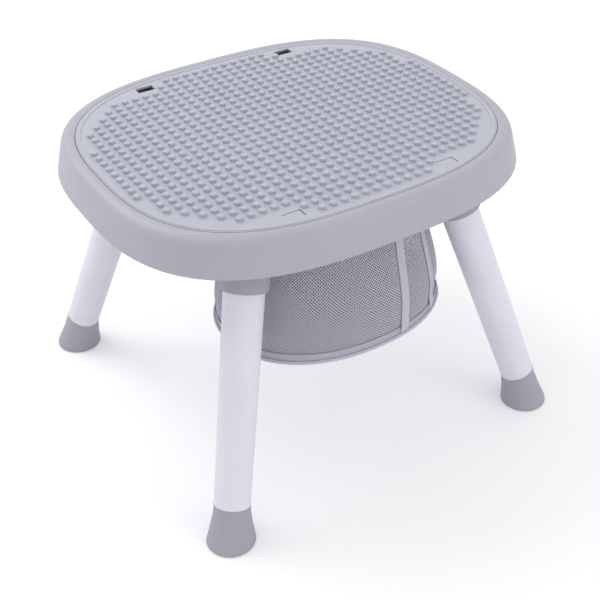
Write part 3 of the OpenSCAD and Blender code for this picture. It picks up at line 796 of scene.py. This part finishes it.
def build_tape(side, turn):
    """A woven tape down the outside of the wall, its edges sewn down."""
    shares = np.linspace(share_at(hem_bottom) - TAPE_TUCKED, share_at(tape_low), TAPE_ROWS)
    across = np.linspace(-1, 1, TAPE_COLUMNS)
    points, uvs = [], []
    for share in shares:
        middle = tape_turn(turn, share)
        turns = middle + across * TAPE_W / 2 * turn_per_metre(middle, share)
        out = tape_out(share) - TAPE_EDGE * np.abs(across) ** TAPE_EDGE_POWER
        points.append(wall_points(turns, share, out))
        uvs.append(np.stack([across * TAPE_W / 2, np.full(TAPE_COLUMNS, share * wall_drop)], -1))
    faces = grid_faces(TAPE_ROWS, TAPE_COLUMNS, False)
    piece = mesh_piece("tape_strip_" + side, points, faces, "tape_cloth", uvs)
    thicken(piece, TAPE_T)
    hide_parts("basket_tape_" + side)


for side, turn in TAPE_TURNS.items():
    build_tape(side, turn)

# ---- Stitches ----

STITCH_L = 3.0 * MM
STITCH_W = 0.55 * MM
STITCH_PITCH = 4.4 * MM
STITCH_SIDES = 5
STITCH_SHOULDER = 0.3
TAPE_SEAM_IN = 1.6 * MM
HEM_SEAM_UP = 2.5 * MM
BAND_SEAM_DOWN = 2 * MM
OUTWARD_STEP = 5 * MM


def stitch_points(at, along, out):
    """A slim bead of thread, lying along one direction and standing a little out of the cloth."""
    side = np.cross(along, out)
    points = [at - along * STITCH_L / 2]
    for place in (-STITCH_SHOULDER, STITCH_SHOULDER):
        for angle in 2 * np.pi * np.arange(STITCH_SIDES) / STITCH_SIDES:
            spoke = math.cos(angle) * side + math.sin(angle) * out
            points.append(at + along * place * STITCH_L + STITCH_W / 2 * spoke)
    return [*points, at + along * STITCH_L / 2]


def stitch_faces():
    """Triangles at a bead's two ends, and quads between its two rings of points."""
    near = [1 + corner for corner in range(STITCH_SIDES)]
    far = [corner + STITCH_SIDES for corner in near]
    tip = 2 * STITCH_SIDES + 1
    pairs = [(corner, (corner + 1) % STITCH_SIDES) for corner in range(STITCH_SIDES)]
    faces = [(0, near[after], near[corner]) for corner, after in pairs]
    faces += [(near[corner], near[after], far[after], far[corner]) for corner, after in pairs]
    faces += [(tip, far[corner], far[after]) for corner, after in pairs]
    return faces


def point_at(place, lengths, line):
    """The point at a length along a line."""
    return np.array([np.interp(place, lengths, line[:, axis]) for axis in range(3)])


def build_stitches(name, lines):
    """Rows of stitches along lines of points. Each line comes with its outward directions."""
    points, faces = [], []
    for line, outwards in lines:
        lengths = lengths_along(line)
        for place in np.arange(STITCH_PITCH / 2, lengths[-1] - STITCH_PITCH / 2, STITCH_PITCH):
            at = point_at(place, lengths, line)
            ahead = point_at(place + MM, lengths, line) - at
            along = ahead / np.linalg.norm(ahead)
            out = point_at(place, lengths, outwards)
            out = out - along * out.dot(along)
            out /= np.linalg.norm(out)
            first = len(points)
            points += stitch_points(at, along, out)
            faces += [tuple(first + corner for corner in face) for face in stitch_faces()]
    mesh_piece(name, points, faces, "thread")


def wall_line(turns, shares, out):
    """A line on the wall and the outward direction at each of its points."""
    line = wall_points(turns, shares, out)
    return line, wall_points(turns, shares, out + OUTWARD_STEP) - line


def tape_seams():
    """Two lines down each tape, a little in from its edges."""
    lines = []
    shares = np.linspace(share_at(hem_bottom), share_at(tape_low), TAPE_ROWS)
    for turn in TAPE_TURNS.values():
        for side in (-1, 1):
            offset = side * (TAPE_W / 2 - TAPE_SEAM_IN)
            turns = tape_turn(turn, shares)
            turns = turns + offset * np.array([turn_per_metre(*at) for at in zip(turns, shares)])
            lines.append(wall_line(turns, shares, tape_out(shares)))
    return lines


build_stitches("tape_stitches", tape_seams())
build_stitches("hem_stitches", [wall_line(ring_turns, share_at(hem_bottom + HEM_SEAM_UP), trim_out)])
build_stitches("band_stitches", [wall_line(ring_turns, share_at(band_top - BAND_SEAM_DOWN), trim_out)])

# ---- Studio floor, lamps and world ----

STUDIO_SIZE = 6.0
STUDIO_WHITE = srgb(248, 248, 250)
STUDIO_LIFT = 0.17
LAMP_SIZE = 1.8
KEY_AT = (-0.9, 1.5, 2.3)
KEY_AIM = (0, 0, 0.4)
KEY_POWER = 22
FILL_AT = (1.3, -2.2, 1.5)
FILL_AIM = (0, 0, 0.25)
FILL_POWER = 9
DOME = 0.80


def add_studio_floor():
    """A pale floor that the camera sees a little brighter than its light makes it."""
    half = STUDIO_SIZE / 2
    mesh = bpy.data.meshes.new("studio_floor")
    corners = [(-half, -half, 0), (half, -half, 0), (half, half, 0), (-half, half, 0)]
    mesh.from_pydata(corners, [], [(0, 1, 2, 3)])
    floor = bpy.data.objects.new("studio_floor", mesh)
    bpy.context.scene.collection.objects.link(floor)
    finish = Finish("studio_floor", Roughness=0.8, Specular_IOR_Level=0.1, Emission_Color=(1, 1, 1, 1))
    finish.mottle(STUDIO_WHITE, spread=0.004, scale=3)
    seen = finish.add("LightPath").outputs["Is Camera Ray"]
    finish.feed("Emission Strength", finish.combine("MULTIPLY", seen, STUDIO_LIFT))
    mesh.materials.append(finish.material)


def add_lamp(name, at, aim, power):
    data = bpy.data.lights.new(name, "AREA")
    data.shape = "DISK"
    data.size = LAMP_SIZE
    data.energy = power
    lamp = bpy.data.objects.new(name, data)
    lamp.location = at
    along_x, along_y, along_z = np.array(aim, float) - np.array(at, float)
    tilt = math.atan2(math.hypot(along_x, along_y), -along_z)
    lamp.rotation_euler = (tilt, 0, math.atan2(along_y, along_x) - math.pi / 2)
    bpy.context.scene.collection.objects.link(lamp)


def add_world():
    """White where the camera or a reflection sees it, and a softer dome as a light."""
    world = bpy.data.worlds.new("studio")
    world.use_nodes = True
    tree = world.node_tree
    background = tree.nodes["Background"]
    background.inputs["Color"].default_value = (1, 1, 1, 1)
    path = tree.nodes.new("ShaderNodeLightPath")
    seen = path.outputs["Is Camera Ray"]
    for ray in ("Is Glossy Ray", "Is Transmission Ray"):
        either = tree.nodes.new("ShaderNodeMath")
        either.operation = "MAXIMUM"
        tree.links.new(seen, either.inputs[0])
        tree.links.new(path.outputs[ray], either.inputs[1])
        seen = either.outputs["Value"]
    level = tree.nodes.new("ShaderNodeMapRange")
    tree.links.new(seen, level.inputs["Value"])
    level.inputs["To Min"].default_value = DOME
    level.inputs["To Max"].default_value = 1.0
    tree.links.new(level.outputs["Result"], background.inputs["Strength"])
    bpy.context.scene.world = world


add_studio_floor()
add_lamp("key_lamp", KEY_AT, KEY_AIM, KEY_POWER)
add_lamp("fill_lamp", FILL_AT, FILL_AIM, FILL_POWER)
add_world()
bpy.context.scene.view_settings.view_transform = "Standard"
